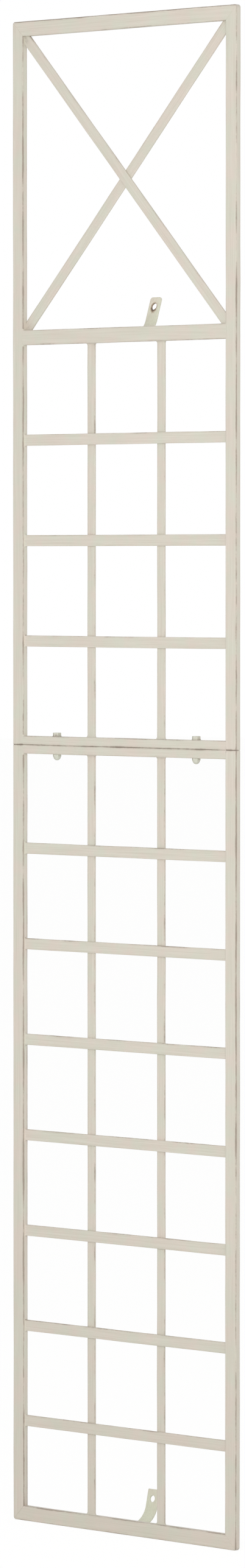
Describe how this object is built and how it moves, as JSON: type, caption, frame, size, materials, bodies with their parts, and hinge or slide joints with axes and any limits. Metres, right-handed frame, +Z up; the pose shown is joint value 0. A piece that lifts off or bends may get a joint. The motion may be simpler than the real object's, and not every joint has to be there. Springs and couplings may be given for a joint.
{
  "type": "espalier frame",
  "caption": "Tall narrow wall trellis of painted flat steel: a crossed brace over an open lattice, in two bolted panels with bent wall straps behind.",
  "frame": {"origin": "middle of the bottom rail's underside, halfway through the depth of the frame bars", "axes": "+X to the right as seen from the front, +Y back towards the wall, +Z up along the frame"},
  "size_m": [0.42, 0.0649, 2.02],
  "materials": {
    "painted_steel": "brushed cream paint on steel bar, rubbed through along the edges",
    "painted_fasteners": "cream paint over steel bolts, nuts and washers"
  },
  "bodies": {
    "root": {"upper_left_stile": "painted_steel", "upper_right_stile": "painted_steel", "top_rail": "painted_steel", "middle_rail": "painted_steel", "upper_joint_bar": "painted_steel", "upper_left_upright": "painted_steel", "upper_right_upright": "painted_steel", "upper_slat_1": "painted_steel", "upper_slat_2": "painted_steel", "upper_slat_3": "painted_steel", "rear_brace_bar": "painted_steel", "front_brace_bar": "painted_steel", "upper_wall_strap": "painted_steel", "lower_left_stile": "painted_steel", "lower_right_stile": "painted_steel", "bottom_rail": "painted_steel", "lower_joint_bar": "painted_steel", "lower_left_upright": "painted_steel", "lower_right_upright": "painted_steel", "lower_slat_1": "painted_steel", "lower_slat_2": "painted_steel", "lower_slat_3": "painted_steel", "lower_slat_4": "painted_steel", "lower_slat_5": "painted_steel", "lower_slat_6": "painted_steel", "lower_slat_7": "painted_steel", "lower_wall_strap": "painted_steel", "left_bolt": "painted_fasteners", "right_bolt": "painted_fasteners", "left_washer": "painted_fasteners", "right_washer": "painted_fasteners", "left_cap_nut": "painted_fasteners", "right_cap_nut": "painted_fasteners"}
  },
  "joints": []
}
